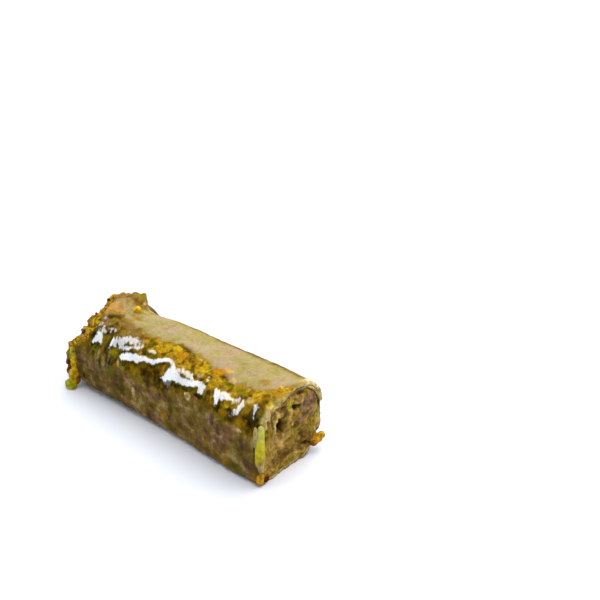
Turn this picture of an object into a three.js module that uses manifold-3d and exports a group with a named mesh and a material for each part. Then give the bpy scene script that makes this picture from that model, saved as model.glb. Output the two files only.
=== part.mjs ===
// A piece of pistachio-roll baklava: a log of ground pistachio with one phyllo sheet wound round it,
// a turn and a quarter, and cut across at both ends.
//
// Millimetres, +Z up. X runs along the roll, from the ragged far end (-X) to the clean cut (+X), and
// Y across it, with the seam of the sheet on the +Y side of the top. The roll lies on z = 0.
//
// Every surface comes from one outline, outlineRadius(angle, x): the sheet follows it as a spiral,
// and the filling fills what the sheet leaves. Angles are in degrees round the roll's middle line,
// 0 at the back wall (+Y), 90 at the top, 180 at the front wall (-Y) and 270 underneath.

import * as THREE from "three";
import { mergeVertices } from "three/addons/utils/BufferGeometryUtils.js";
import Module from "manifold-3d";

const wasm = await Module();
wasm.setup();

// ---------------------------------------------------------------- driving sizes

const ROLL_LENGTH = 52; // the sheet, from cut to cut
const ROLL_WIDTH = 17.4;
const ROLL_HEIGHT = 16.6; // over the top, before the lifted corner
const AXIS_HEIGHT = 8.25; // of the middle line that the angles turn about
const SAG = 0.45; // how far the underside would hang below the tray, pressed flat by it

const SHEET = 0.5; // the buttered sheet with its syrup
const LAYER_GAP = 0.16; // between two turns of the sheet
const FILLING_GAP = 0.2; // between the sheet and the filling
const CLEARANCE = 0.08; // that a crumb at a rim keeps from the sheet

// The sheet is wound askew: its outer free edge climbs from the back wall to the top.
const SEAM_NEAR = 14; // the angle of the edge at the near end
const SEAM_FAR = 60; // and at the far end
const SEAM_LEVEL = 18; // the x from which it lies level, towards the near end
const SEAM_TOP = -13; // the x where it has reached the top
const INNER_END = 503; // the inner free edge, a turn and a quarter further in
const INNER_FADE = [9, 26]; // how far past it the filling takes up the room that it leaves, from and to
const TUCK = 90; // over how many degrees the sheet dips a layer down, to pass under its outer edge
const TUCK_EARLY = 14; // and how long before the edge it is down

const LUMP_SIZE = 3.1; // the ground nut felt through the sheet
const LUMP_HEIGHT = 0.34;

// The wall bulges a little before the near end and is slack about the middle.
const NEAR_BULGE = { at: 18.2, reach: 14, by: 0.45 };
const MIDDLE_SLACK = { at: -2.6, reach: 20, by: 0.25 };

// The near end is pinched where the knife pressed the front shoulder over.
const PINCH_AT = 138; // the angle of the pinch, and how far round it reaches
const PINCH_REACH = 62;
const PINCH_DEPTH = 2.3;
const PINCH_LENGTH = 3.2;
const EDGE_ROUNDING = 0.35; // of the rest of the near rim, and how far along it takes
const EDGE_LENGTH = 0.8;
const ROUND_SHARE = 0.97; // how far towards upright the rounding goes

// The far end flares up at the seam into a lifted corner.
const FLARE_START = -16.9;
const FLARE_TOP = -20.2;
const FLARE = { at: 60, reach: 44, by: 1.1 };
const FLARE_LEFT = 0.5; // of the flare, by the end of the sheet
const DIP_BEFORE = { at: 70, reach: 50, by: 0.45 };
const DIP_PLACE = { at: -15.4, reach: 5 }; // along the roll
const LIP_HEIGHT = 1.6; // of the outer turn alone, above the flare
const LIP_LEFT = 0.35; // of the lip, by the end of the sheet
const LIP_ROUND = 36; // how many degrees past its free edge the lip is lifted

// How the ends are cut and torn. An angle, how far round it reaches, and by how many mm.
const SHOULDER_TEAR = { at: 140, reach: 40, by: 4.0 };
const TOP_TEAR = { at: 100, reach: 36, by: 2.3 };
const FAR_JAG = 1.1;
const NEAR_NOTCH = { at: 183, reach: 34, by: 1.2 };
const NEAR_JAG = 0.5;

// How far the filling stands out of the torn end: all round, and more in places.
const FAR_PROUD = 1.7;
const FRONT_HEAP = { at: 200, reach: 50, by: 1.5 };
const SHOULDER_HEAP = { at: 142, reach: 42, by: 2.2 };
const BACK_HEAP = { at: 60, reach: 40, by: 0.6 };
const SPILL = 0.5; // how far it swells there, over the rim of the sheet
const FAR_DOME = 2.0; // how far its middle stands past the end of the sheet
const NEAR_DOME = -0.35;

// The crumbly relief of a cut face: clods, and the grains on them.
const CLOD_SIZE = 2.6;
const CLOD_HEIGHT = 0.9;
const GRAIN_SIZE = 1.2;
const GRAIN_HEIGHT = 0.5;

// Creases across the front shoulder, near the far end.
const CREASES = { at: 148, reach: 36, from: -26, to: -15 };
const CREASE_PITCH = 2.1;
const CREASE_DEPTH = 0.3;
const CREASE_SLANT = 0.06; // mm along for each degree round

// How many stations the meshes take.
const OUTER_AROUND = 80;
const OUTER_ALONG = 39;
const INNER_AROUND = 44;
const INNER_ALONG = 21;
const CORE_AROUND = 54;
const CORE_ALONG = 15;
const COLLAR = [0, 0.5, 1]; // the rings of the filling that stand out of the far end
const CAP_RINGS = 6;
const TURN_WEIGHT = 2; // how many mm of wall a turn of one radian counts as, when spacing stations

const HALF_LENGTH = ROLL_LENGTH / 2;
const HALF_WIDTH = ROLL_WIDTH / 2;
const LAYER = SHEET + LAYER_GAP;

// ---------------------------------------------------------------- small helpers

const { cos, sin, abs, min, max, sqrt, floor, hypot, PI } = Math;
const lerp = (a, b, t) => a + (b - a) * t;
const radians = (degrees) => (degrees * PI) / 180;

function smooth(from, to, value) {
  const t = min(1, max(0, (value - from) / (to - from)));
  return t * t * (3 - 2 * t);
}

// A smooth bump of height 1 at the middle, down to 0 at reach on both sides.
const bump = (value, middle, reach) => 1 - smooth(0, reach, abs(value - middle));

// The same, for an angle, whichever turn it is on.
function angleBump(angle, middle, reach) {
  const off = abs(((angle - middle + 540) % 360) - 180);
  return 1 - smooth(0, reach, off);
}

// The same, for what is named by where it is, how far it reaches and by how much.
const swell = (angle, { at, reach, by }) => by * angleBump(angle, at, reach);

// A repeatable random number from 0 to 1 for a cell of a grid.
function cell(i, j, seed) {
  const value = sin(i * 127.1 + j * 311.7 + seed * 74.7) * 43758.5453;
  return value - floor(value);
}

// Smooth noise from 0 to 1, with one random value at each whole number of u and v.
function noise(u, v, seed) {
  const i = floor(u);
  const j = floor(v);
  const a = smooth(0, 1, u - i);
  const b = smooth(0, 1, v - j);
  const low = lerp(cell(i, j, seed), cell(i + 1, j, seed), a);
  const high = lerp(cell(i, j + 1, seed), cell(i + 1, j + 1, seed), a);
  return lerp(low, high, b);
}

// ---------------------------------------------------------------- the outline

// How square each quarter of the section is, at the far end and at the near end: 2 is an ellipse.
const QUARTERS = [
  { far: 2.8, near: 2.7 }, // back top
  { far: 2.1, near: 2.9 }, // front top
  { far: 4.2, near: 8 }, // front bottom
  { far: 2.8, near: 2.2 }, // back bottom
];

function sectionRadius(angle, x) {
  const along = smooth(-HALF_LENGTH, HALF_LENGTH, x);
  const turn = ((angle % 360) + 360) % 360;
  const quarter = QUARTERS[min(3, floor(turn / 90))];
  const power = lerp(quarter.far, quarter.near, along);
  const bulge = NEAR_BULGE.by * bump(x, NEAR_BULGE.at, NEAR_BULGE.reach);
  const slack = MIDDLE_SLACK.by * bump(x, MIDDLE_SLACK.at, MIDDLE_SLACK.reach);
  const across = HALF_WIDTH + bulge - slack;
  const up = turn < 180 ? ROLL_HEIGHT - AXIS_HEIGHT : AXIS_HEIGHT + SAG;
  const c = abs(cos(radians(turn))) / across;
  const s = abs(sin(radians(turn))) / up;
  return (c ** power + s ** power) ** (-1 / power);
}

// The pinch of the near rim, as a quarter round that starts PINCH_LENGTH from it.
function pinch(angle, x) {
  const shoulder = angleBump(angle, PINCH_AT, PINCH_REACH);
  const depth = EDGE_ROUNDING + PINCH_DEPTH * shoulder;
  const length = EDGE_LENGTH + PINCH_LENGTH * shoulder;
  const t = min(1, max(0, (x - (HALF_LENGTH - length)) / length));
  return depth * (1 - sqrt(1 - ROUND_SHARE * t * t));
}

// How far the flare is up at x: it rises at once, and falls to what is left by the end of the sheet.
function lifted(x, left) {
  return smooth(FLARE_START, FLARE_TOP, x) * lerp(1, left, smooth(FLARE_TOP, -HALF_LENGTH, x));
}

// The lift of the far end at the back of the top.
function flare(angle, x) {
  const dip = bump(x, DIP_PLACE.at, DIP_PLACE.reach);
  return swell(angle, FLARE) * lifted(x, FLARE_LEFT) - swell(angle, DIP_BEFORE) * dip;
}

function outlineRadius(angle, x) {
  return sectionRadius(angle, x) - pinch(angle, x) + flare(angle, x);
}

// Angles from one to another, evenly spaced along the outline but closer where it turns sharply.
function stations(from, to, count) {
  const fine = Array.from({ length: 1801 }, (_, i) => lerp(from, to, i / 1800));
  const points = fine.map((angle) => pointAt(angle, 0, 0, 0));
  const travel = [0];
  let heading = null;
  for (let i = 1; i < points.length; i += 1) {
    const y = points[i][1] - points[i - 1][1];
    const z = points[i][2] - points[i - 1][2];
    const next = Math.atan2(z, y);
    const turned = heading === null ? 0 : abs(((next - heading + 3 * PI) % (2 * PI)) - PI);
    travel.push(travel[i - 1] + hypot(y, z) + TURN_WEIGHT * turned);
    heading = next;
  }
  const total = travel[travel.length - 1];
  let at = 0;
  return Array.from({ length: count }, (_, k) => {
    const wanted = (total * k) / (count - 1);
    while (at < travel.length - 2 && travel[at + 1] < wanted) at += 1;
    const share = (wanted - travel[at]) / (travel[at + 1] - travel[at]);
    return lerp(fine[at], fine[at + 1], share);
  });
}

// A point on the roll at that angle and x, depth below the outline, kept off the tray.
function pointAt(angle, x, depth, floorHeight) {
  const r = outlineRadius(angle, x) - depth;
  const y = r * cos(radians(angle));
  const z = AXIS_HEIGHT + r * sin(radians(angle));
  return [x, y, max(z, floorHeight)];
}

// ---------------------------------------------------------------- the phyllo sheet

// The outer free edge, with the small waves of a torn one.
function seamAngle(x) {
  return lerp(SEAM_NEAR, SEAM_FAR, smooth(SEAM_LEVEL, SEAM_TOP, x)) + 1.2 * sin(x / 2.7);
}

// How far the outer face of the sheet lies below the outline.
function tuck(angle, x) {
  const down = seamAngle(x) + 360 - TUCK_EARLY;
  return LAYER * smooth(down - TUCK, down, angle);
}

// The loose corner of the outer turn, at the far end of the seam.
function lip(angle, x) {
  return LIP_HEIGHT * lifted(x, LIP_LEFT) * (1 - smooth(SEAM_FAR, SEAM_FAR + LIP_ROUND, angle));
}

// Lumps of nut under the sheet, and the creases, none of them where another turn covers it.
function relief(angle, x) {
  const around = (radians(angle) * ROLL_WIDTH) / 2;
  const coarse = noise(x / LUMP_SIZE + 40, around / LUMP_SIZE + 9, 1);
  const fine = noise((x / LUMP_SIZE) * 2.1 + 70, (around / LUMP_SIZE) * 2.1, 2);
  const lumps = LUMP_HEIGHT * (0.7 * coarse + 0.3 * fine);
  const middle = (CREASES.from + CREASES.to) / 2;
  const creased = bump(x, middle, CREASES.to - middle) * angleBump(angle, CREASES.at, CREASES.reach);
  const slanted = (x + CREASE_SLANT * (angle - CREASES.at)) / CREASE_PITCH;
  const crease = CREASE_DEPTH * creased * (0.5 + 0.5 * sin(2 * PI * slanted));
  const covered = seamAngle(x) + 360;
  const open = 1 - smooth(covered - TUCK_EARLY, covered - 2, angle);
  const resting = 1 - 0.85 * angleBump(angle, 270, 38);
  return (lumps + crease) * open * resting;
}

// The ragged ends of the sheet.
function farRim(angle) {
  const torn = swell(angle, SHOULDER_TEAR) + swell(angle, TOP_TEAR);
  const jagged = FAR_JAG * (noise(angle / 9, 3, 5) - 0.5);
  return -HALF_LENGTH + torn + jagged;
}

function nearRim(angle) {
  const jagged = NEAR_JAG * noise(angle / 8, 7, 6);
  return HALF_LENGTH - swell(angle, NEAR_NOTCH) - jagged;
}

// A point at a station round and a share v along, on the outer face (depth 0 or less) or the inner.
function sheetPoint(station, v, depth) {
  const guess = lerp(-HALF_LENGTH, HALF_LENGTH, v);
  const skewed = 1 - smooth(SEAM_FAR, SEAM_FAR + 90, station);
  const angle = station + skewed * (seamAngle(guess) - SEAM_FAR);
  const x = lerp(farRim(angle), nearRim(angle), v);
  const raised = lip(angle, x) + (depth > 0 ? 0 : relief(angle, x));
  return pointAt(angle, x, tuck(angle, x) + depth - raised, depth);
}

// ---------------------------------------------------------------- the filling

// How far the filling stays below the outline: the turns of the sheet that cover it, and the gap.
function coreDepth(angle, x) {
  const turn = ((angle % 360) + 360) % 360;
  const later = turn < 180 ? turn + 360 : turn; // the turn that the tucked part is on
  const past = smooth(INNER_END + INNER_FADE[0], INNER_END + INNER_FADE[1], later);
  return SHEET + FILLING_GAP + tuck(later, x) * (1 - past);
}

// The torn rim that shows, of the turns of the sheet that lie one over another there.
const farEdge = (angle) => min(farRim(angle), farRim(angle + 360));

// Where the filling ends. It is left standing proud of the torn far rim, and is cut flush at the near one.
function coreFar(angle) {
  const heaped = swell(angle, FRONT_HEAP) + swell(angle, SHOULDER_HEAP) + swell(angle, BACK_HEAP);
  return farEdge(angle) - FAR_PROUD - heaped;
}

// How far the filling swells out over the sheet's rim, past the torn end.
function spill(angle, x) {
  const loose = 0.6 + 0.8 * noise(angle / 9, 5, 77);
  return SPILL * loose * smooth(0, 0.9, farEdge(angle) - x);
}

const coreNear = (angle) => HALF_LENGTH - 0.1 - NEAR_JAG * noise(angle / 8, 7, 6);

// The crumbly relief of a cut face.
function crumble(y, z, seed) {
  const clods = noise(y / CLOD_SIZE + 20, z / CLOD_SIZE + 20, seed);
  const grains = noise(y / GRAIN_SIZE + 20, z / GRAIN_SIZE + 20, seed + 1);
  return CLOD_HEIGHT * (clods - 0.5) + GRAIN_HEIGHT * (grains - 0.5);
}

// ---------------------------------------------------------------- meshes

// A surface as it is put together: a list of points and a list of triangles.
class Skin {
  constructor() {
    this.points = [];
    this.faces = [];
  }

  // Adds a row of points and returns their numbers.
  row(points) {
    const first = this.points.length;
    this.points.push(...points);
    return points.map((_, i) => first + i);
  }

  // Joins two rows that need not hold as many points, walking along both by their share of the way.
  stitch(a, b) {
    let i = 0;
    let j = 0;
    while (i < a.length - 1 || j < b.length - 1) {
      const aNext = (i + 1) / (a.length - 1);
      const bNext = (j + 1) / (b.length - 1);
      if (j === b.length - 1 || (i < a.length - 1 && aNext <= bNext)) {
        this.faces.push([a[i], b[j], a[i + 1]]);
        i += 1;
      } else {
        this.faces.push([a[i], b[j], b[j + 1]]);
        j += 1;
      }
    }
  }

  geometry() {
    const made = new THREE.BufferGeometry();
    made.setAttribute("position", new THREE.Float32BufferAttribute(this.points.flat(), 3));
    made.setIndex(this.faces.flat());
    return made;
  }
}

function solidFrom(geometry) {
  const bare = geometry.clone();
  bare.deleteAttribute("normal");
  bare.deleteAttribute("uv");
  const merged = mergeVertices(bare, 1e-4);
  const mesh = new wasm.Mesh({
    numProp: 3,
    vertProperties: merged.attributes.position.array,
    triVerts: new Uint32Array(merged.index.array),
  });
  return new wasm.Manifold(mesh);
}

// The largest body of a solid, without the scraps that a cut leaves.
function largest(solid) {
  return solid.decompose().reduce((best, one) => (one.volume() > best.volume() ? one : best));
}

function geometryOf(solid) {
  const mesh = solid.getMesh();
  const made = new THREE.BufferGeometry();
  made.setAttribute("position", new THREE.BufferAttribute(mesh.vertProperties, 3));
  made.setIndex(new THREE.BufferAttribute(mesh.triVerts, 1));
  return made;
}

// The sheet as one closed skin: outer face, inner face, and the four edges between them. A margin
// makes it that much thicker on both faces.
function sheetGeometry(margin) {
  const skin = new Skin();
  const grid = (around, along, depth) =>
    stations(SEAM_FAR, INNER_END, around).map((station) =>
      skin.row(alongShares(along).map((v) => sheetPoint(station, v, depth))),
    );
  const outer = grid(OUTER_AROUND, OUTER_ALONG, -margin);
  const inner = grid(INNER_AROUND, INNER_ALONG, SHEET + margin);
  outer.slice(1).forEach((row, i) => skin.stitch(outer[i], row));
  inner.slice(1).forEach((row, i) => skin.stitch(row, inner[i]));

  const end = (rows, last) => rows.map((row) => (last ? row[row.length - 1] : row[0]));
  skin.stitch(inner[0], outer[0]);
  skin.stitch(outer[outer.length - 1], inner[inner.length - 1]);
  skin.stitch(end(outer, false), end(inner, false));
  skin.stitch(end(inner, true), end(outer, true));
  return skin.geometry();
}

// Shares of the way along the roll, closer together towards its uneven far end.
const alongShares = (count) =>
  Array.from({ length: count }, (_, i) => i / (count - 1)).map((t) => t * (0.75 + 0.25 * t));

// The filling: a tube of side stations, closed by a crumbly cap at each end.
function coreGeometry() {
  const skin = new Skin();
  const angles = stations(0, 360, CORE_AROUND + 1).slice(0, CORE_AROUND);
  const floorHeight = SHEET + FILLING_GAP;
  const ring = (place) => {
    const row = skin.row(angles.map(place));
    return [...row, row[0]];
  };
  const side = (place) => (angle) => {
    const x = place(angle);
    return pointAt(angle, x, coreDepth(angle, x) - spill(angle, x), floorHeight);
  };
  const collar = COLLAR.map((v) => (angle) => lerp(coreFar(angle), farEdge(angle) - 0.1, v));
  const wrapped = alongShares(CORE_ALONG).map(
    (v) => (angle) => lerp(farEdge(angle) + 0.2, coreNear(angle), v),
  );
  const rings = [...collar, ...wrapped].map((place) => ring(side(place)));
  rings.slice(1).forEach((row, i) => skin.stitch(row, rings[i]));

  const cap = (rim, place, dome, seed, outwards) => {
    let last = rim;
    for (let k = 1; k < CAP_RINGS; k += 1) {
      const inwards = k / CAP_RINGS;
      const row = ring((angle) => {
        const [x, y, z] = side(place)(angle);
        const py = y * (1 - inwards);
        const pz = AXIS_HEIGHT + (z - AXIS_HEIGHT) * (1 - inwards);
        const level = lerp(x, outwards * (HALF_LENGTH + dome), smooth(0, 0.6, inwards));
        return [level + outwards * crumble(py, pz, seed) * smooth(0, 0.25, inwards), py, pz];
      });
      if (outwards > 0) skin.stitch(row, last);
      else skin.stitch(last, row);
      last = row;
    }
    const middle = skin.row([[outwards * (HALF_LENGTH + dome), 0, AXIS_HEIGHT]])[0];
    for (let i = 0; i < CORE_AROUND; i += 1) {
      const face = [last[i], last[i + 1], middle];
      skin.faces.push(outwards > 0 ? face : face.reverse());
    }
  };
  cap(rings[0], coreFar, FAR_DOME, 11, -1);
  cap(rings[rings.length - 1], coreNear, NEAR_DOME, 15, 1);
  return skin.geometry();
}

// A crumb of nut: an uneven twenty-sided lump, turned at random.
function crumb([x, y, z], [length, width, height], seed) {
  const shape = mergeVertices(
    new THREE.IcosahedronGeometry(0.5, 0).deleteAttribute("normal").deleteAttribute("uv"),
    1e-4,
  );
  const place = shape.attributes.position;
  for (let i = 0; i < place.count; i += 1) {
    const grow = 0.82 + 0.4 * cell(i, seed, 21);
    place.setXYZ(i, place.getX(i) * grow, place.getY(i) * grow, place.getZ(i) * grow);
  }
  const spin = new THREE.Euler(...[1, 2, 3].map((k) => (cell(seed, k, 22) - 0.5) * 0.9));
  shape.applyMatrix4(
    new THREE.Matrix4().compose(
      new THREE.Vector3(x, y, z),
      new THREE.Quaternion().setFromEuler(spin),
      new THREE.Vector3(length, width, height),
    ),
  );
  return solidFrom(shape);
}

// Crumbs spread evenly over a cut face, from its middle outwards, each half sunk in it.
function faceCrumbs(outwards, count, level, seed) {
  const golden = 137.508;
  return Array.from({ length: count }, (_, i) => {
    const share = 0.9 * sqrt((i + 0.5) / count);
    const angle = (i * golden + seed * 40) % 360;
    const size = 1.1 + 1.0 * cell(i, seed, 31);
    const end = outwards * HALF_LENGTH;
    const r = share * (outlineRadius(angle, end) - coreDepth(angle, end) - size / 2);
    const y = r * cos(radians(angle));
    const z = max(AXIS_HEIGHT + r * sin(radians(angle)), SHEET + FILLING_GAP + 0.6 * size);
    const proud = crumble(y, z, outwards < 0 ? 11 : 15) * (1 - share ** 4);
    return crumb([outwards * (level + proud), y, z], [0.8 * size, size, 0.9 * size], seed + i);
  });
}

// ---------------------------------------------------------------- crumbs with places of their own

// The green sliver of nut laid bare at the front corner of the cut.
const SLIVER = { at: [25.4, -8.1, 8.4], size: [1.8, 1.9, 8.8] };

// The chunk that sticks out of the cut at the back, low down, and the bit it hangs on.
const CHUNK = [
  { at: [26.0, 5.2, 2.9], size: [2.2, 2.4, 2.2] },
  { at: [26.85, 7.0, 2.5], size: [1.5, 3.5, 1.8] },
];

// The bits that hang from the front of the far end, down to the tray.
const STRAGGLERS = [
  { at: [-28.3, -7.7, 7.3], size: [2.4, 2.2, 2.8] },
  { at: [-29.1, -8.7, 5.3], size: [1.8, 1.8, 1.7] },
  { at: [-29.0, -9.0, 3.4], size: [1.7, 1.7, 1.7] },
  { at: [-28.2, -8.4, 4.0], size: [2.2, 2.0, 3.0] },
  { at: [-27.7, -9.2, 2.6], size: [2.3, 2.2, 2.2] },
  { at: [-27.2, -10.1, 1.6], size: [2.1, 2.0, 2.0] },
  { at: [-26.8, -10.8, 0.9], size: [1.8, 1.9, 1.5] },
];

// Bits stuck to the glaze on the outside of the sheet, by angle and x.
const STUCK = [
  { angle: 80, x: -18.4, size: 2.0 },
  { angle: 97, x: 24.2, size: 1.1 },
];

function fillingSolid() {
  const named = [SLIVER, ...CHUNK, ...STRAGGLERS].map(({ at, size }, i) => crumb(at, size, 60 + i));
  const spread = [
    ...faceCrumbs(1, 16, HALF_LENGTH - 0.6, 2),
    ...faceCrumbs(-1, 20, HALF_LENGTH + 1.7, 5),
  ];
  const joined = [...named, ...spread].reduce((all, one) => all.add(one), solidFrom(coreGeometry()));
  return largest(joined.subtract(solidFrom(sheetGeometry(CLEARANCE))));
}

function sheetSolid() {
  const bits = STUCK.map(({ angle, x, size }, i) =>
    crumb(pointAt(angle, x, -0.25 * size - 0.1, 0), [size, size, 0.9 * size], 90 + i),
  );
  return bits.reduce((all, one) => all.add(one), solidFrom(sheetGeometry(0)));
}

// ---------------------------------------------------------------- the roll

const ground = new THREE.MeshStandardMaterial({ color: 0x7d6a2e, roughness: 0.75, metalness: 0 });
const glazed = new THREE.MeshStandardMaterial({ color: 0x7a5e1c, roughness: 0.3, metalness: 0 });

function named(name, solid, material) {
  const mesh = new THREE.Mesh(geometryOf(solid), material);
  mesh.name = name;
  return mesh;
}

const roll = new THREE.Group();
roll.add(named("pistachio_filling", fillingSolid(), ground));
roll.add(named("phyllo_sheet", sheetSolid(), glazed));

// The part's origin is the middle of its footprint.
const size = new THREE.Box3().setFromObject(roll);
const middle = size.getCenter(new THREE.Vector3());
roll.position.set(-middle.x, -middle.y, -size.min.z);

export default roll;
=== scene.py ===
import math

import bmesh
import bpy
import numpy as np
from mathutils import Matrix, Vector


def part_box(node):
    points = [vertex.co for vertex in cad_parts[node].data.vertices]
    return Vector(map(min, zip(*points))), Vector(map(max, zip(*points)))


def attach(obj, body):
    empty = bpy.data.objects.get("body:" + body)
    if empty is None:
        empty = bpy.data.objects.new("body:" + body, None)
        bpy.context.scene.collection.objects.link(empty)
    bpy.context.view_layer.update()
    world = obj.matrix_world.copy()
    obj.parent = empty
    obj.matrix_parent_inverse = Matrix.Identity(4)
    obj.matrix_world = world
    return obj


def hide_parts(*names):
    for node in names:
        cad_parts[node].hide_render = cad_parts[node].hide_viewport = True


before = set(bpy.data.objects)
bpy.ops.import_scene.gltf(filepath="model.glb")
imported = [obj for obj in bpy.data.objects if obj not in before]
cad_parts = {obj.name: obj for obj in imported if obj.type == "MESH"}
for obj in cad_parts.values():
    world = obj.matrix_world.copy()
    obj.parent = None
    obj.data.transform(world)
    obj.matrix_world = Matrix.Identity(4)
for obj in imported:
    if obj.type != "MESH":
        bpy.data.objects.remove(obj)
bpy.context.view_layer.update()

# A piece of pistachio-roll baklava: a syrup-soaked phyllo sheet wound round ground pistachio.
#
# The form is worked out in millimetres along the roll (x), across it (y) and up (z), as the model's
# solids are, and is then moved into their frame. Angles are in degrees round the roll's middle
# line: 0 at the back wall, 90 at the top, 180 at the front wall and 270 underneath.

MM = 0.001

# ---------------- driving sizes, in mm

ROLL_LENGTH = 52.0
ROLL_WIDTH = 17.4
ROLL_HEIGHT = 16.6
AXIS_HEIGHT = 8.25
SAG = 0.45
BULGE, SLACK = 0.45, 0.25  # how much wider the roll is near the cut, and narrower half way

SHEET = 0.5
LAYER = 0.66
FILLING_GAP = 0.2

SEAM_NEAR, SEAM_FAR = 14.0, 60.0
SEAM_LEVEL, SEAM_TOP = 18.0, -13.0
SEAM_WAVE, SEAM_WAVE_PITCH = 1.2, 2.7
INNER_END, INNER_FADE = 503.0, (9, 26)
TUCK, TUCK_EARLY = 90.0, 14.0

LUMP_SIZE, LUMP_HEIGHT = 3.1, 0.34
PINCH_DEPTH, PINCH_LENGTH = 2.3, 3.2
EDGE_ROUNDING, EDGE_LENGTH, ROUND_SHARE = 0.35, 0.8, 0.97
FLARE_START, FLARE_TOP = -16.9, -20.2
FLARE_HEIGHT, LIP_HEIGHT, DIP_DEPTH = 1.1, 1.6, 0.45
FLARE_LEFT, LIP_LEFT, LIP_ROUND = 0.5, 0.35, 36.0
CREASE_PITCH, CREASE_DEPTH, CREASE_SLANT = 2.1, 0.3, 0.06
FAR_JAG, FAR_FINE_JAG, NEAR_JAG, NEAR_FINE_JAG = 1.1, 0.5, 0.5, 0.25

# Where a feature is, in degrees round the roll or mm along it, and how far it reaches.
BULGE_PLACE, SLACK_PLACE = (18.2, 14), (-2.6, 20)
PINCH_PLACE, FLARE_PLACE = (138, 62), (60, 44)
DIP_ROUND, DIP_ALONG = (70, 50), (-15.4, 5)
# The same, and by how many mm.
SHOULDER_TEAR, TOP_TEAR, NEAR_NOTCH = (140, 40, 4.0), (100, 36, 2.3), (183, 34, 1.2)
FRONT_HEAP, SHOULDER_HEAP, BACK_HEAP = (200, 50, 1.5), (142, 42, 2.2), (60, 40, 0.6)

BIT, BIT_HEIGHT = 1.5, 0.09  # of chopped nut that shows through the sheet
GRAIN, GRAIN_HEIGHT = 1.15, 0.34  # of the ground filling, and its clods and clusters
CLOD, CLOD_HEIGHT, CLUSTER, CLUSTER_HEIGHT = 2.6, 0.9, 1.2, 0.5
FAR_PROUD, NEAR_INSET = 1.7, 0.1  # how far the filling stands out of the torn end and in at the cut
FAR_DOME, NEAR_DOME = 2.0, -0.35  # how far its middle stands past each end of the sheet
SPILL = 0.5  # how far it swells where it comes out

HALF_LENGTH = ROLL_LENGTH / 2
HALF_WIDTH = ROLL_WIDTH / 2
DEGREE = math.pi / 180 * ROLL_WIDTH / 2  # mm round the roll to a degree

# How square each quarter of the section is, at the far end and at the near end: 2 is an ellipse.
QUARTERS_FAR = np.array([2.8, 2.1, 4.2, 2.8])
QUARTERS_NEAR = np.array([2.7, 2.9, 8.0, 2.2])


# ---------------- numbers


def lerp(a, b, t):
    return a + (b - a) * t


def smooth(start, end, value):
    t = np.clip((value - start) / (end - start), 0, 1)
    return t * t * (3 - 2 * t)


def bump(value, middle, reach):
    return 1 - smooth(0, reach, np.abs(value - middle))


def angle_bump(angle, middle, reach, height=1):
    return height * (1 - smooth(0, reach, np.abs((angle - middle + 540) % 360 - 180)))


def cell(i, j, seed):
    """A repeatable random number from 0 to 1 for a cell of a grid."""
    value = np.sin(i * 127.1 + j * 311.7 + seed * 74.7) * 43758.5453
    return value - np.floor(value)


def noise(u, v, seed):
    """Smooth noise from 0 to 1, with one random value at each whole number of u and v."""
    i, j = np.floor(u), np.floor(v)
    a, b = smooth(0, 1, u - i), smooth(0, 1, v - j)
    low = lerp(cell(i, j, seed), cell(i + 1, j, seed), a)
    high = lerp(cell(i, j + 1, seed), cell(i + 1, j + 1, seed), a)
    return lerp(low, high, b)


def layered(u, v, seed, layers=3):
    """Noise with finer and fainter layers on top of it, from 0 to 1."""
    total = sum(0.5**k * noise(u * 2.03**k, v * 2.03**k, seed + 17 * k) for k in range(layers))
    return total / (2 - 0.5 ** (layers - 1))


def scattered(u, v, size, seed):
    """The nearest of many bits scattered about a surface: how far its middle is, in its own sizes,
    and two random values of it."""
    i, j = np.floor(u / size), np.floor(v / size)
    best = np.full(np.shape(u), 9.0)
    first, second = np.zeros_like(best), np.zeros_like(best)
    for across in (-1, 0, 1):
        for along in (-1, 0, 1):
            ci, cj = i + across, j + along
            mu = (ci + 0.12 + 0.76 * cell(ci, cj, seed)) * size
            mv = (cj + 0.12 + 0.76 * cell(ci, cj, seed + 1)) * size
            turn = math.pi * cell(ci, cj, seed + 2)
            du, dv = u - mu, v - mv
            a = du * np.cos(turn) + dv * np.sin(turn)
            b = (dv * np.cos(turn) - du * np.sin(turn)) * 1.45
            off = np.hypot(a, b) / size / (0.62 + 0.7 * cell(ci, cj, seed + 3))
            nearer = off < best
            best = np.where(nearer, off, best)
            first = np.where(nearer, cell(ci, cj, seed + 4), first)
            second = np.where(nearer, cell(ci, cj, seed + 5), second)
    return best, first, second


# ---------------- the outline of the roll


def section_radius(angle, x):
    along = smooth(-HALF_LENGTH, HALF_LENGTH, x)
    turn = angle % 360
    quarter = np.minimum(3, np.floor(turn / 90)).astype(int)
    power = lerp(QUARTERS_FAR[quarter], QUARTERS_NEAR[quarter], along)
    bulge = BULGE * bump(x, *BULGE_PLACE) - SLACK * bump(x, *SLACK_PLACE)
    up = np.where(turn < 180, ROLL_HEIGHT - AXIS_HEIGHT, AXIS_HEIGHT + SAG)
    c = np.abs(np.cos(np.radians(turn))) / (HALF_WIDTH + bulge)
    s = np.abs(np.sin(np.radians(turn))) / up
    return (c**power + s**power) ** (-1 / power)


def pinch(angle, x):
    shoulder = angle_bump(angle, *PINCH_PLACE)
    depth = EDGE_ROUNDING + PINCH_DEPTH * shoulder
    length = EDGE_LENGTH + PINCH_LENGTH * shoulder
    t = np.clip((x - (HALF_LENGTH - length)) / length, 0, 1)
    return depth * (1 - np.sqrt(1 - ROUND_SHARE * t * t))


def lifted(x, left):
    """How far the flare is up: it rises at once, and falls to what is left by the sheet's end."""
    return smooth(FLARE_START, FLARE_TOP, x) * lerp(1, left, smooth(FLARE_TOP, -HALF_LENGTH, x))


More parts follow.
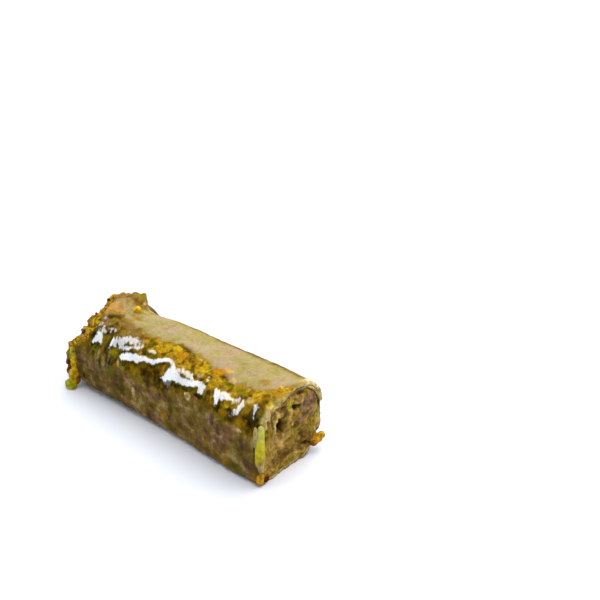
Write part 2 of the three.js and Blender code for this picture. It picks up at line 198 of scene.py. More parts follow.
def flare(angle, x):
    dip = DIP_DEPTH * bump(x, *DIP_ALONG) * angle_bump(angle, *DIP_ROUND)
    return FLARE_HEIGHT * lifted(x, FLARE_LEFT) * angle_bump(angle, *FLARE_PLACE) - dip


def outline_radius(angle, x):
    return section_radius(angle, x) - pinch(angle, x) + flare(angle, x)


def point_at(angle, x, depth, floor_height):
    r = outline_radius(angle, x) - depth
    y = r * np.cos(np.radians(angle))
    z = AXIS_HEIGHT + r * np.sin(np.radians(angle))
    return np.stack(np.broadcast_arrays(x, y, np.maximum(z, floor_height)), axis=-1)


TURN_WEIGHT = 1.2  # how many mm of wall a turn of one radian counts as


def stations(start, end, count, density=np.ones_like):
    """Angles from start to end, evenly spaced along the outline but closer where it turns sharply
    and where density(angle) is high."""
    fine = np.linspace(start, end, 2401)
    points = point_at(fine, np.zeros_like(fine), 0, 0)
    step = np.diff(points[:, 1:], axis=0)
    heading = np.unwrap(np.arctan2(step[:, 1], step[:, 0]))
    turned = np.abs(np.diff(heading, prepend=heading[0]))
    length = (np.hypot(step[:, 0], step[:, 1]) + TURN_WEIGHT * turned) * density(fine[1:])
    travel = np.concatenate([[0], np.cumsum(length)])
    return np.interp(np.linspace(0, travel[-1], count), travel, fine)


# ---------------- the phyllo sheet


def seam_angle(x):
    climb = smooth(SEAM_LEVEL, SEAM_TOP, x)
    return lerp(SEAM_NEAR, SEAM_FAR, climb) + SEAM_WAVE * np.sin(x / SEAM_WAVE_PITCH)


def tuck(angle, x):
    down = seam_angle(x) + 360 - TUCK_EARLY
    return LAYER * smooth(down - TUCK, down, angle)


def lip(angle, x):
    return LIP_HEIGHT * lifted(x, LIP_LEFT) * (1 - smooth(SEAM_FAR, SEAM_FAR + LIP_ROUND, angle))


def open_share(angle, x):
    """1 where the sheet's outer face is bare, and 0 where the next turn covers it."""
    covered = seam_angle(x) + 360
    return 1 - smooth(covered - TUCK_EARLY, covered - 2, angle)


def far_rim(angle):
    torn = angle_bump(angle, *SHOULDER_TEAR) + angle_bump(angle, *TOP_TEAR)
    jagged = FAR_JAG * (noise(angle / 9, 3, 5) - 0.5)
    jagged = jagged + FAR_FINE_JAG * (noise(angle / 2.3, 5, 8) - 0.5)
    return -HALF_LENGTH + torn + jagged


def near_rim(angle):
    jagged = NEAR_JAG * noise(angle / 8, 7, 6) + NEAR_FINE_JAG * noise(angle / 2.1, 9, 9)
    return HALF_LENGTH - angle_bump(angle, *NEAR_NOTCH) - jagged


def spot_field(u, v, spots_by_tone, step=1):
    """How strongly spots cover each place, and the tone of the one that covers it most. A spot is
    (u, v in steps of that many mm, half its length, half its height)."""
    cover, tone = np.zeros(np.shape(u)), np.zeros(np.shape(u))
    for its_tone, spots in spots_by_tone.items():
        for mu, steps, half_u, half_v in spots:
            mv = steps * step
            wobble = 0.55 * (noise(u / 0.6 + mu, v / 0.6 + mv, 23) - 0.5)
            off = np.hypot((u - mu) / half_u, (v - mv) / half_v) + wobble
            near = 1 - smooth(0.35, 1.15, off)
            tone = np.where(near > cover, its_tone, tone)
            cover = np.maximum(cover, near)
    return cover, tone


def stroke_depth(u, v, strokes, step=DEGREE):
    """How deep each place lies inside the nearest of many strokes, in mm, below zero outside, and
    that stroke's number. A stroke is (its number, its points), and a point is (u, v in steps of
    that many mm, half the width there). A step is a degree round the roll unless given."""
    depth, number = np.full(np.shape(u), -9.0), np.zeros(np.shape(u))
    for its_number, points in strokes:
        for (u0, steps0, half0), (u1, steps1, half1) in zip(points, points[1:]):
            v0, v1 = steps0 * step, steps1 * step
            length = (u1 - u0) ** 2 + (v1 - v0) ** 2
            t = np.clip(((u - u0) * (u1 - u0) + (v - v0) * (v1 - v0)) / length, 0, 1)
            inside = lerp(half0, half1, t) - np.hypot(u - lerp(u0, u1, t), v - lerp(v0, v1, t))
            number = np.where(inside > depth, its_number, number)
            depth = np.maximum(depth, inside)
    return depth, number


# Tones of what shows through the sheet or stands in the filling, as places on one colour ramp.
TONES = (0.0, 0.09, 0.18, 0.27, 0.36, 0.45, 0.54, 0.63, 0.72, 0.8, 0.87, 0.94, 1.0)
DARK, VIOLET, BROWN, TAN, OLIVE, GREEN, LIME, AMBER, ORANGE, YELLOW, PALE, PEACH, ROSE = TONES

# Where the pale top ends and where the dull wall begins, by x: the angle there.
TOP_ENDS = [
    (-26, 97), (-19, 98), (-14, 108), (-9, 110), (-4, 106), (0, 104), (6, 111), (20, 116),
    (22.5, 108), (24.6, 84),
]
WALL_BEGINS = [
    (-26, 172), (-19, 177), (-12, 168), (-8, 174), (-1, 174), (1.5, 160), (14, 159), (20, 166),
    (26, 170),
]

# What stands out through the sheet, by its tone: x, angle, half its length, half its height.
SHEET_SPOTS = {
    YELLOW: [
        (-0.4, 110, 1.2, 0.9), (8.1, 120, 1.4, 1.2), (12.7, 107, 1.5, 0.7), (25.1, 124, 0.9, 1.4),
        (17.3, 144, 1, 0.7), (-23.4, 119, 0.8, 0.9), (-22.4, 125, 0.9, 0.7),
    ],
    ORANGE: [(1.8, 117, 2, 0.9), (11.7, 114, 2, 1), (-6.6, 112, 1.3, 0.6), (-0.7, 141, 0.6, 0.8)],
    AMBER: [
        (25.3, 82, 0.6, 2.8), (-21.8, 103, 0.8, 1.2), (25.6, 150, 0.5, 1.2), (20.5, 97, 1.4, 1.1),
        (-20.6, 97, 1.8, 0.8), (-16.9, 104, 1.5, 0.7), (-8.2, 160, 1.5, 1.3), (21.2, 155, 1.9, 1.2),
        (17, 154, 1.5, 0.8), (0.4, 205, 1.1, 0.9), (17.4, 212, 1.3, 0.8), (-15.6, 91, 1.9, 1),
    ],
    PEACH: [(-22.6, 100, 1.6, 1.8), (-21, 89, 1.8, 0.9), (-21.8, 92, 2, 1.3), (-19.9, 91, 1, 0.8)],
    PALE: [
        (-8.4, 192, 0.6, 1.5), (15.3, 118, 1.2, 0.8), (7.4, 158, 0.8, 0.9), (21.3, 165, 0.9, 0.5),
        (-12.8, 161, 0.6, 1.2),
    ],
    TAN: [
        (-14.9, 112, 3.2, 1.1), (-11.3, 117, 2.4, 0.9), (3.6, 160, 0.5, 0.8),
        (-22.9, 190, 0.8, 0.8), (18.5, 189, 1.3, 0.9), (-23.7, 172, 0.6, 0.8),
        (-20.9, 178, 0.5, 1.3),
    ],
    LIME: [(-14.4, 148, 1.7, 0.8), (-20.4, 63, 1.1, 0.9), (-11.4, 167, 0.8, 0.8)],
    GREEN: [
        (-13, 153, 1, 0.9), (25.2, 142, 1.4, 1.3), (15, 125, 1.8, 0.6), (18.6, 126, 2.2, 0.9),
        (3.4, 157, 2, 0.4), (-5.2, 133, 2, 0.5), (-18.7, 59, 0.8, 0.7), (-14.9, 178, 0.8, 1.3),
    ],
    OLIVE: [
        (20.7, 214, 2, 0.8), (-19.8, 203, 2, 1.2), (-19.2, 158, 1.2, 0.7), (-18.6, 180, 1.2, 0.9),
        (-22.6, 188, 0.9, 1.1),
    ],
    BROWN: [
        (12.2, 147, 0.8, 1.4), (-9.4, 116, 1.6, 0.6), (10.4, 126, 1.6, 0.5), (-21.6, 195, 1.2, 0.8),
        (5.4, 129, 1.4, 0.5), (-19.9, 74, 1, 0.9), (-22.8, 71, 0.9, 0.9), (-22.1, 165, 0.7, 0.7),
    ],
    # Dark patches, mostly just below the syrup and in hollows: partly darker colour, partly painted
    # shade.
    DARK: [
        (-21.3, 143, 0.5, 1.4), (-4.4, 156, 2.7, 1.3), (-1.6, 161, 1.7, 1.4), (3.9, 155, 0.8, 0.6),
        (6.1, 152, 1.3, 0.4), (9.6, 152, 1.5, 0.4), (15.8, 151, 1.4, 0.5), (24.4, 148, 0.6, 0.8),
        (-24.2, 209, 0.9, 1), (-17, 154, 0.5, 1), (-20.4, 165, 0.7, 0.8),
    ],
    VIOLET: [
        (14.3, 170, 0.8, 1.7), (15.7, 180, 1.1, 1.6), (15.4, 192, 1, 1.2), (22.7, 203, 1, 0.8),
        (22.1, 185, 0.8, 0.9), (-19.4, 214, 1.8, 0.7), (-6.6, 186, 0.8, 1),
    ],
    ROSE: [
        (9.5, 158, 0.5, 0.8), (-1.9, 210, 1, 0.7), (-21.6, 77, 1.6, 1), (-24, 73, 1.3, 1.6),
        (-21, 119, 0.8, 0.8), (-18.7, 159, 0.4, 0.4), (-17, 91, 0.9, 0.7),
    ],
}

# The rolled rim of the sheet's torn end.
ROLLED_RIM = [(1, [(-22, 107, 0.75), (-23.1, 92, 0.75), (-22.6, 84, 0.75), (-18.2, 83, 0.7)])]
# Folds in the sheet, with pale lines painted along them as highlights, and how pale: where the
# lifted lip comes down to the seam, and below the shoulder near the torn end.
FOLDS = [
    (1, [(-18.4, 66, 0.28), (-19, 50, 0.28)]),
    (0.6, [(-18.6, 66, 0.16), (-17.6, 61, 0.2), (-16.4, 61, 0.18), (-15.2, 64, 0.1)]),
    (0.5, [(-18.2, 74, 0.12), (-17, 70, 0.18), (-15.4, 70, 0.18), (-13.6, 66, 0.1)]),
    (0.4, [(-17, 82, 0.1), (-15.6, 78, 0.16), (-14, 79, 0.16), (-12.2, 75, 0.08)]),
    (0.5, [(-16.5, 159, 0.08), (-16.9, 174, 0.12)]),
    (0.5, [(-15.5, 158, 0.08), (-15.9, 176, 0.12)]),
    (0.4, [(-14.5, 161, 0.08), (-14.9, 172, 0.1)]),
]
# A deep crease across the shoulder near the torn end, sunk in and painted dark as its shade.
DEEP_CREASE = [(1, [(-17.2, 126, 0.1), (-16.7, 137, 0.22), (-16.8, 146, 0.3), (-17.1, 157, 0.22)])]

# Where syrup lies on the front shoulder and takes the light: how much of the light it takes, less
# where it is thin and rough, and the run's points.
SYRUP_RUNS = [
    (1, [(-20.9, 151, 0.25), (-20.3, 145, 0.65), (-19.8, 141, 0.85), (-20.4, 138, 0.4)]),
    (0.6, [(-22.2, 117, 0.08), (-20.2, 115, 0.14)]),
    (0.6, [(-22.3, 134, 0.1), (-20.6, 124, 0.16)]),
    (0.6, [(-20.7, 133, 0.14), (-18.8, 119, 0.16)]),
    (0.6, [(-18, 131, 0.1), (-17.5, 119, 0.14)]),
    (0.9, [(-19.8, 142, 0.6), (-18.9, 147, 0.3)]),
    (0.7, [(-20, 136, 0.2), (-17.5, 127, 0.22)]),
    (0.6, [(-16.6, 126, 0.12), (-15.8, 121, 0.22)]),
    (1, [(-16.5, 153, 0.15), (-16.2, 146, 0.35), (-15.6, 140, 0.6), (-15.9, 136, 0.4)]),
    (0.75, [
        (-15.4, 140, 0.7), (-14.2, 135, 0.9), (-12.8, 130, 0.8), (-10.6, 126, 0.7), (-9, 125, 0.2),
    ]),
    (0.8, [
        (-13.6, 143, 0.2), (-12.4, 140, 0.35), (-11, 138, 0.3), (-9, 133, 0.45), (-8.2, 129, 0.2),
    ]),
    (1, [
        (-12, 152, 0.7), (-10.3, 148, 0.75), (-8.8, 145, 0.65), (-7.9, 146, 0.75),
        (-7.1, 143, 0.55), (-6.2, 141, 0.42), (-5.2, 141, 0.42), (-3.9, 140, 0.5), (-2.8, 136, 0.4),
        (-1.5, 132, 0.4), (-0.3, 129, 0.36), (0.8, 130, 0.3),
    ]),
    (0.9, [(-5.7, 129, 0.3), (-4.6, 128, 0.34)]),
    (1, [(1, 131, 0.3), (1.8, 138, 0.8), (1.6, 145, 1.3), (1.3, 151, 1.2), (1.6, 156, 0.6)]),
    (1, [(0.6, 150, 0.5), (-0.5, 153, 0.25)]),
    (1, [
        (1.7, 142, 1), (3.2, 143, 0.8), (4.5, 145, 0.5), (6.6, 143, 0.62), (8.6, 140, 0.5),
        (9.7, 138, 0.5), (10.3, 141, 0.75), (10.5, 144, 0.6),
    ]),
    (0.8, [(10, 145, 0.4), (9.4, 147, 0.15)]),
    (0.8, [(2.6, 137, 0.4), (4.2, 134, 0.4), (5.6, 135, 0.4), (6.6, 136, 0.4), (7.4, 139, 0.3)]),
    (0.9, [(10.5, 130, 0.22), (10.8, 130, 0.3)]),
    (1, [(13.6, 136, 0.3), (14.3, 140, 0.75), (14.7, 145, 0.6), (14.8, 151, 0.25)]),
    (1, [(14.4, 141, 0.7), (15.9, 138, 0.75), (17.2, 138, 0.3), (18.6, 138, 0.2)]),
    (0.7, [(18.4, 139, 0.2), (19.4, 134, 0.25), (20.3, 131, 0.15)]),
    (0.95, [(20.2, 133, 0.15), (20.5, 138, 0.5), (20.3, 144, 0.45), (20.1, 149, 0.25)]),
    (0.8, [(19.4, 148, 0.3), (18.9, 152, 0.3)]),
    (0.95, [
        (21.4, 131, 0.12), (22.8, 131, 0.26), (23.6, 136, 0.42), (23.9, 141, 0.5), (23.9, 145, 0.3),
    ]),
]
# The shadow below each run of syrup is painted into the sheet's colour.
SHADOW_DROP = 0.7  # how far below a run of syrup its shadow lies, in mm

# How thick the film of syrup is on the top, the front wall and the back wall.
TOP_FILM, WALL_FILM, BACK_FILM = 0.2, 0.05, 0.25


def sheet_face(angle, x):
    """What the sheet's outer face shows at each angle and x: its relief, how bare it is, and the
    values that its material reads."""
    around = angle * DEGREE
    clouds = layered(x / 4 + 11, around / 3 + 5, 31)

    # Strokes laid on it, and the nutty dip behind the rolled rim.
    run, gleam = stroke_depth(x, around, SYRUP_RUNS)
    pooled = smooth(-0.6, 0.1, run)
    # A copy of the runs moved down by SHADOW_DROP, painted dark as their shadow.
    run_shadow = smooth(-0.5, 0.2, stroke_depth(x, around - SHADOW_DROP, SYRUP_RUNS)[0])
    rolled = smooth(-0.75, 0.35, stroke_depth(x, around, ROLLED_RIM)[0])
    folded, paleness = stroke_depth(x, around, FOLDS)
    folded = smooth(-0.2, 0.2, folded) * paleness
    cleft = smooth(-0.35, 0.3, stroke_depth(x, around, DEEP_CREASE)[0])
    behind = smooth(-16.9, -18.0, x) * (1 - smooth(80, 84, angle))
    behind = np.maximum(behind, smooth(-22.8, -23.6, x) * (1 - smooth(100, 112, angle)))

    # The pale top, the dull wall, and the nutty band between them with its low part, darker partly
    # as painted shade.
    top_edge = np.interp(x, *zip(*TOP_ENDS)) + 9 * (clouds - 0.5)
    top_edge = top_edge + 7 * (noise(x / 1.1, 4, 33) - 0.5)
    low_edge = np.interp(x, *zip(*WALL_BEGINS)) + 12 * (noise(x / 2.1, 8, 34) - 0.5)
    band = smooth(-5, 6, angle - top_edge) * (1 - smooth(-6, 7, angle - low_edge))
    far_end = smooth(-17, -22, x) * angle_bump(angle, 110, 75)
    nutty = np.maximum(np.maximum(band, 0.85 * far_end), behind)
    nut = np.clip(nutty + 0.3 * (clouds - 0.6), 0, 1)
    # The top's colour is lighter and whiter than the pastry's own, partly as a painted sheen.
    top = (1 - smooth(-5, 5, angle - top_edge)) * smooth(50, 66, angle)
    top = top + 0.3 * angle_bump(angle, 360, 60)
    low = smooth(top_edge + 18, top_edge + 40, angle) * (1 - smooth(-4, 8, angle - low_edge))

    # The chopped bits that show through it: scattered ones and the named spots.
    off, tone, rank = scattered(around + 50, x + 60, BIT, 41)
    round_bit = (1 - smooth(0.1, 0.75, off)) * rank
    shows = (1 - smooth(0.1, 0.95, off)) * smooth(0.3, 0.9, rank) * (0.14 + 0.7 * nut)
    shows = shows * (1 - 0.8 * top) * lerp(1, 2.6, angle_bump(angle, 352, 50))
    # Bits low on the shoulder are darker, partly as painted shade.
    tone = np.clip(tone - 0.3 * low + 0.05, 0, PALE)
    cover, spot_tone = spot_field(x, around, SHEET_SPOTS, DEGREE)
    tone = np.where(cover > 0.25, spot_tone, tone)
    shows = np.maximum(shows, 0.8 * cover)

    # The relief, less where syrup fills it and where the roll rests on the table.
    lumps = 0.7 * noise(x / LUMP_SIZE + 40, around / LUMP_SIZE + 9, 1)
    fine_lumps = noise(x / LUMP_SIZE * 2.1 + 70, around / LUMP_SIZE * 2.1, 2)
    lumps = lumps + 0.3 * lerp(fine_lumps, 0.5, 0.8 * pooled)
    creased = bump(x, -20.5, 5.5) * angle_bump(angle, 138, 27)
    slanted = (x + CREASE_SLANT * (angle - 148)) / CREASE_PITCH
    crease = (0.5 + 0.5 * np.sin(2 * math.pi * slanted)) * (1 - 0.9 * pooled)
    gathered = bump(x, -16.5, 6) * angle_bump(angle, 168, 26)
    wrinkle = layered(x / 0.75 + 0.3 * np.sin(around), around / 7, 51, 2)
    ripple = layered(x / 1.3 + 7, around / 1.1 + 3, 61, 2)
    crinkle = layered(x / 0.8 + around / 2.4 + 17, around / 0.9 - x / 3 + 9, 63, 2)
    relief = LUMP_HEIGHT * lumps + CREASE_DEPTH * creased * crease
    bumpy = BIT_HEIGHT * round_bit * (0.5 + 0.5 * nut) + 0.14 * (ripple - 0.5)
    bumpy = (bumpy + 0.12 * (crinkle - 0.5)) * (1 - 0.75 * top * (x > -17))
    relief = relief + bumpy * (1 - 0.85 * pooled)
    relief = relief + 0.09 * gathered * (wrinkle - 0.5) - 0.3 * cleft
    relief = relief + 0.5 * rolled + 0.22 * folded - 0.45 * behind * (1 - rolled)
    relief = relief + 0.35 * behind * round_bit * (1 - rolled)
    resting = 1 - 0.85 * angle_bump(angle, 270, 38)
    bare = open_share(angle, x)

    # Its painted shade, its thin film of syrup, and its pale edges and ridges (partly painted
    # highlight).
    # Painted shade in the wrinkles' troughs and on the front wall towards the far end.
    trough_shade = 0.2 * gathered * smooth(0.5, 0.3, wrinkle)
    shaded = 0.2 * smooth(-9, -17, x) * smooth(160, 175, angle)
    film = lerp(TOP_FILM, 0.0, smooth(-6, 3, angle - top_edge)) * smooth(58, 84, angle)
    film = film * lerp(1, 0.15, smooth(-14, -18, x))
    film = np.where(angle > 150, WALL_FILM * smooth(158, 172, angle), film)
    film = np.maximum(film, BACK_FILM * (1 - smooth(30, 50, angle)))
    from_rim = near_rim(angle) - x
    fray = smooth(0.3, 0.6, noise(angle / 3.1, x / 2, 35))
    rim = smooth(0.95, 0.35, from_rim) * angle_bump(angle, 130, 46) * lerp(0.6, 1, fray)
    # The near corner: a pale cut edge, brightened further as a painted highlight.
    corner = smooth(1.5, 0.8, from_rim) * angle_bump(angle, 46, 32) * lerp(0.4, 1, fray)
    lifted_lip = smooth(-16.5, -18.5, x) * angle_bump(angle, 88, 20)
    # Wrinkle crests painted pale as highlight, as their troughs are painted dark as shade.
    crest_highlight = 0.5 * gathered * smooth(0.5, 0.68, wrinkle)
    pale = [0.8 * rim, 0.2 * rolled, 0.7 * folded, 0.4 * lifted_lip, crest_highlight, 1.6 * corner]
    return relief * bare * resting, bare, {
        "tone": tone, "shows": shows, "nut": nut, "top": top, "low": low, "run": run,
        "gleam": gleam, "around": around, "dull": smooth(-5, -13, x),
        "film": np.maximum(film, 0.7 * corner), "edge": np.max(pale, axis=0),
        "painted_shade": np.max([trough_shade, 0.85 * cleft, 0.5 * run_shadow, shaded], axis=0),
    }


def grid_faces(rows, columns, start=0):
    """The four corners of each cell of a grid of points that is numbered row by row."""
    corner = start + np.arange(rows - 1)[:, None] * columns + np.arange(columns - 1)[None, :]
    cells = np.stack([corner, corner + columns, corner + columns + 1, corner + 1], axis=-1)
    return cells.reshape(-1, 4)


def strip(fine, coarse, ratio):
    """Polygons that join a fine edge to a coarse one, which has one point to each ratio of its."""
    return [
        [*fine[k * ratio : (k + 1) * ratio + 1], coarse[k + 1], coarse[k]]
        for k in range(len(coarse) - 1)
    ]


# How many cells the sheet's outer face has, and how many of them go to one of its inner face's.
AROUND, ALONG, COARSER = 336, 272, 4


def sheet_mesh():
    """The sheet as one closed skin, with its fine outer face, its inner face and four edges."""
    angles = stations(SEAM_FAR, INNER_END, AROUND + 1, lambda a: np.where(a < 425, 1.0, 0.4))
    share = np.linspace(0, 1, ALONG + 1)

    def face(angles, share, depth):
        station, v = np.meshgrid(angles, share, indexing="ij")
        guess = lerp(-HALF_LENGTH, HALF_LENGTH, v)
        skewed = 1 - smooth(SEAM_FAR, SEAM_FAR + 90, station)
        angle = station + skewed * (seam_angle(guess) - SEAM_FAR)
        x = lerp(far_rim(angle), near_rim(angle), v)
        relief, bare, shown = sheet_face(angle, x)
        raised = lip(angle, x) + (relief if depth == 0 else 0)
        return point_at(angle, x, tuck(angle, x) + depth - raised, depth), bare, shown

    outer, _, shown = face(angles, share, 0)
    inner, bare, _ = face(angles[::COARSER], share[::COARSER], SHEET)
    rows, columns = outer.shape[:2]
    inner_rows, inner_columns = inner.shape[:2]
    first = rows * columns
    number = np.arange(first).reshape(rows, columns)
    inside = first + np.arange(inner_rows * inner_columns).reshape(inner_rows, inner_columns)

    faces = grid_faces(rows, columns).tolist()
    faces += grid_faces(inner_rows, inner_columns, first)[:, ::-1].tolist()
    for edge, other, flip in (
        (number[0], inside[0], False),
        (number[-1], inside[-1], True),
        (number[:, 0], inside[:, 0], True),
        (number[:, -1], inside[:, -1], False),
    ):
        made = strip(edge.tolist(), other.tolist(), COARSER)
        faces += [corners[::-1] for corners in made] if flip else made

    points = np.concatenate([outer.reshape(-1, 3), inner.reshape(-1, 3)])
    blank = np.zeros(inner_rows * inner_columns)
    values = {name: np.concatenate([shown[name].ravel(), blank]) for name in shown}
    values["edge"][first:] = 0.95 * bare.ravel()
    return points, faces, values


# ---------------- the filling


def core_depth(angle, x):
    turn = angle % 360
    later = np.where(turn < 180, turn + 360, turn)
    past = smooth(*(INNER_END + fade for fade in INNER_FADE), later)
    return SHEET + FILLING_GAP + tuck(later, x) * (1 - past)


def far_edge(angle):
    """The torn rim that shows, of the two turns that lie one over the other there."""
    return np.minimum(far_rim(angle), far_rim(angle + 360))


def core_far(angle):
    heaped = angle_bump(angle, *FRONT_HEAP) + angle_bump(angle, *SHOULDER_HEAP)
    return far_edge(angle) - FAR_PROUD - heaped - angle_bump(angle, *BACK_HEAP)


def core_near(angle):
    return HALF_LENGTH - NEAR_INSET - NEAR_JAG * noise(angle / 8, 7, 6)


def crumble(y, z, seed):
    """The relief of a cut face, above and below its middle level."""
    coarse = noise(y / CLOD + 20, z / CLOD + 20, seed)
    fine = noise(y / CLUSTER + 20, z / CLUSTER + 20, seed + 1)
    return CLOD_HEIGHT * coarse + CLUSTER_HEIGHT * fine - 0.7


def grains(u, v, seed):
    """The height and the random tone of the ground nut's grains."""
    off, tone, rank = scattered(u, v, GRAIN, seed)
    small, small_tone, small_rank = scattered(u, v, GRAIN / 2.1, seed + 7)
    height = (1 - smooth(0.1, 0.8, off)) * (0.4 + 0.6 * rank)
    height = height + 0.35 * (1 - smooth(0.1, 0.8, small)) * small_rank
    tone = np.where(small_rank > 0.72, small_tone, tone)
    return height, tone


def crumb_tone(share, golden):
    """The tone of a crumb at the torn end, from a random share: so many of them are golden, and the
    others run from brown to green."""
    plain = 1 - golden
    gold = lerp(AMBER, YELLOW, (share - plain) / golden)
    return np.where(share > plain, gold, lerp(BROWN, LIME, share / plain))


# What stands out on the near cut, by its tone: y, z, half its width, half its height. The dark
# ones are pits, painted dark as their shade.
NEAR_SPOTS = {
    VIOLET: [(5.1, 11.4, 2.6, 2.9), (3, 8.9, 1.3, 1.1)],
    BROWN: [
        (5.2, 10.2, 0.5, 1.4), (-1.5, 12.3, 1, 1.2), (1.4, 8.6, 0.9, 0.8), (2.4, 2.9, 1.1, 0.7),
        (0.7, 2.9, 0.7, 0.7), (5.4, 3.9, 1.2, 1.1), (2.8, 5.4, 2, 2.4), (-2.6, 3.8, 4.6, 1.9),
        (-6.9, 1.2, 0.8, 1.2),
    ],
    DARK: [
        (-2.5, 10, 1.1, 1.6), (-2.2, 14, 0.8, 1.2), (1.6, 12.3, 1.5, 0.8), (3.2, 15, 1.4, 0.7),
        (6.7, 14.2, 0.9, 1.1), (4.2, 3.2, 0.9, 1.2),
    ],
    OLIVE: [(4.2, 6.8, 1.6, 1.2), (0.6, 6.5, 1.4, 1.7), (-2.6, 0.9, 1, 0.5)],
    TAN: [(-3.6, 7.4, 2.2, 1.5), (2.4, 13.5, 1.3, 1.2), (-0.9, 10.4, 0.6, 0.9)],
    LIME: [(-0.2, 13.6, 1, 1.6), (7.5, 6.6, 0.7, 1.9)],
    PALE: [
        (0.1, 12.1, 0.5, 0.8), (0.3, 9.4, 0.5, 0.6), (0.9, 6.1, 0.4, 0.4), (-3.2, 12.7, 0.6, 0.7),
        (6.2, 5.2, 0.5, 0.6), (1.4, 2.2, 0.5, 0.4),
    ],
    PEACH: [(2.4, 14, 0.7, 0.6), (-3.2, 7.8, 1.2, 0.7)],
    YELLOW: [(-6.3, 13.2, 1.3, 1.7)],
    AMBER: [(-5.8, 10.8, 0.5, 1.6)],
    GREEN: [(-7.2, 11.6, 0.8, 1.2), (-1, 1.4, 0.6, 0.5)],
    ORANGE: [(-2.2, 1.9, 1, 0.7)],
    ROSE: [(-5.8, 1.6, 0.5, 1)],
}
# The pale edges of inner turns of the sheet on the near cut: y, z, half its width.
NEAR_TURNS = [
    (1, [(-3, 15.2, 0.4), (-4.1, 13.6, 0.45), (-4.7, 12.1, 0.45), (-4.5, 9.6, 0.4)]),
]

CORE_AROUND, CAP_RINGS = 320, 54
# Where the filling's rings lie along it, from its far end to its near end.
RING_PLACES = [*np.linspace(0, 0.14, 44), *np.linspace(0.16, 0.9, 14), *np.linspace(0.92, 1, 32)]


def core_mesh():
    """The filling: a tube of rings with a crumbly cap at each end. A ring is its points, and the
    grain's tone there, how much it shows, its height and how far it is out of the torn end."""
    angles = stations(0, 360, CORE_AROUND + 1)[:-1]
    inset = SHEET + FILLING_GAP
    edge = far_edge(angles)

    def side_ring(v):
        x = lerp(core_far(angles), core_near(angles), v)
        height, tone = grains(np.radians(angles) * HALF_WIDTH + 30, x + 80, 71)
        spilt = smooth(0.0, 0.9, edge - x)
        tone = lerp(tone, crumb_tone(tone, 0.65), spilt)
        bare = np.maximum(spilt, smooth(-1.2, -0.2, x - near_rim(angles)))
        loose = 0.6 + 0.8 * noise(angles / 9, 5, 77)
        lift = GRAIN_HEIGHT * bare * (height - 0.35) + SPILL * spilt * loose
        shows = lerp(0.35, 0.75, spilt)
        return point_at(angles, x, core_depth(angles, x) - lift, inset), tone, shows, height, spilt

    def cap_ring(rim, k, outwards, dome, seed):
        inwards = (k / CAP_RINGS) ** 0.92
        y = rim[:, 1] * (1 - inwards)
        z = AXIS_HEIGHT + (rim[:, 2] - AXIS_HEIGHT) * (1 - inwards)
        level = lerp(rim[:, 0], outwards * (HALF_LENGTH + dome), smooth(0, 0.6, inwards))
        height, tone = grains(y + 40, z + 40, seed + 3)
        tone = crumb_tone(tone, 0.35) if outwards < 0 else lerp(BROWN, YELLOW, tone)
        rise = crumble(y, z, seed) * smooth(0, 0.25, inwards)
        shows = np.full(y.shape, 0.75)
        coarse = np.ones(y.shape)
        if outwards > 0:
            smeared = 1 - smooth(0.5, 1.1, np.hypot((y + 3.5) / 5.4, (z - 6.0) / 4.0))
            coarse = 0.7 - 0.5 * smeared
            cover, its_tone = spot_field(y, z, NEAR_SPOTS)
            turn = smooth(-0.15, 0.2, stroke_depth(y, z, NEAR_TURNS, 1)[0])
            cover, its_tone = np.maximum(cover, turn), np.where(turn > cover, PALE, its_tone)
            # Dark spots are sunk as pits and painted dark as their shade.
            deep = cover * (its_tone == DARK)
            shows = np.maximum(0.5 * coarse, np.maximum(0.7 * cover, 0.92 * deep).clip(0, 1))
            tone = np.where(cover > 0.3, its_tone, tone)
            rise = rise - 0.95 * deep + 0.15 * (cover - deep) + 0.4 * turn
            height = lerp(height, 0.15, deep)
        rise = rise + GRAIN_HEIGHT * smooth(0, 0.06, inwards) * (height - 0.4) * coarse
        far = np.full(y.shape, float(outwards < 0))
        return np.stack([level + outwards * rise, y, z], axis=-1), tone, shows, height, far

    rings = [side_ring(v) for v in RING_PLACES]
    far_cap = [cap_ring(rings[0][0], k, -1, FAR_DOME, 11) for k in range(1, CAP_RINGS)]
    near_cap = [cap_ring(rings[-1][0], k, 1, NEAR_DOME, 15) for k in range(1, CAP_RINGS)]
    stack = far_cap[::-1] + rings + near_cap

    points = np.concatenate([ring[0] for ring in stack])
    points = np.concatenate([points, [stack[0][0].mean(axis=0), stack[-1][0].mean(axis=0)]])
    number = np.arange(len(stack) * CORE_AROUND).reshape(len(stack), CORE_AROUND)
    after = np.roll(number, -1, axis=1)
    cells = np.stack([number[:-1], after[:-1], after[1:], number[1:]], axis=-1)
    faces = cells.reshape(-1, 4).tolist()
    faces += [[b, a, len(points) - 2] for a, b in zip(number[0].tolist(), after[0].tolist())]
    faces += [[a, b, len(points) - 1] for a, b in zip(number[-1].tolist(), after[-1].tolist())]
    values = {
        name: np.concatenate([ring[k] for ring in stack] + [[0.5, 0.5]])
        for k, name in enumerate(("tone", "shows", "height", "far"), start=1)
    }
    return points, faces, values


def normals_of(points, faces):
    """Which way the surface faces at each point."""
    normals = np.zeros_like(points)
    for corners in (3, 4):
        chosen = np.array([face for face in faces if len(face) == corners])
        first, second, third = (points[chosen[:, k]] for k in range(3))
        for k in range(corners):
            np.add.at(normals, chosen[:, k], np.cross(second - first, third - first))
    return normals / np.linalg.norm(normals, axis=1)[:, None]


# ---------------- making pieces

# Where the outline's millimetres lie in the model's frame, from the sheet's own box.
sheet_points, sheet_faces, sheet_values = sheet_mesh()
SHIFT = np.array(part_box("phyllo_sheet")[1]) / MM - sheet_points.max(axis=0)
SHIFT[2] = 0


def to_frame(points):
    return (np.asarray(points) + SHIFT) * MM


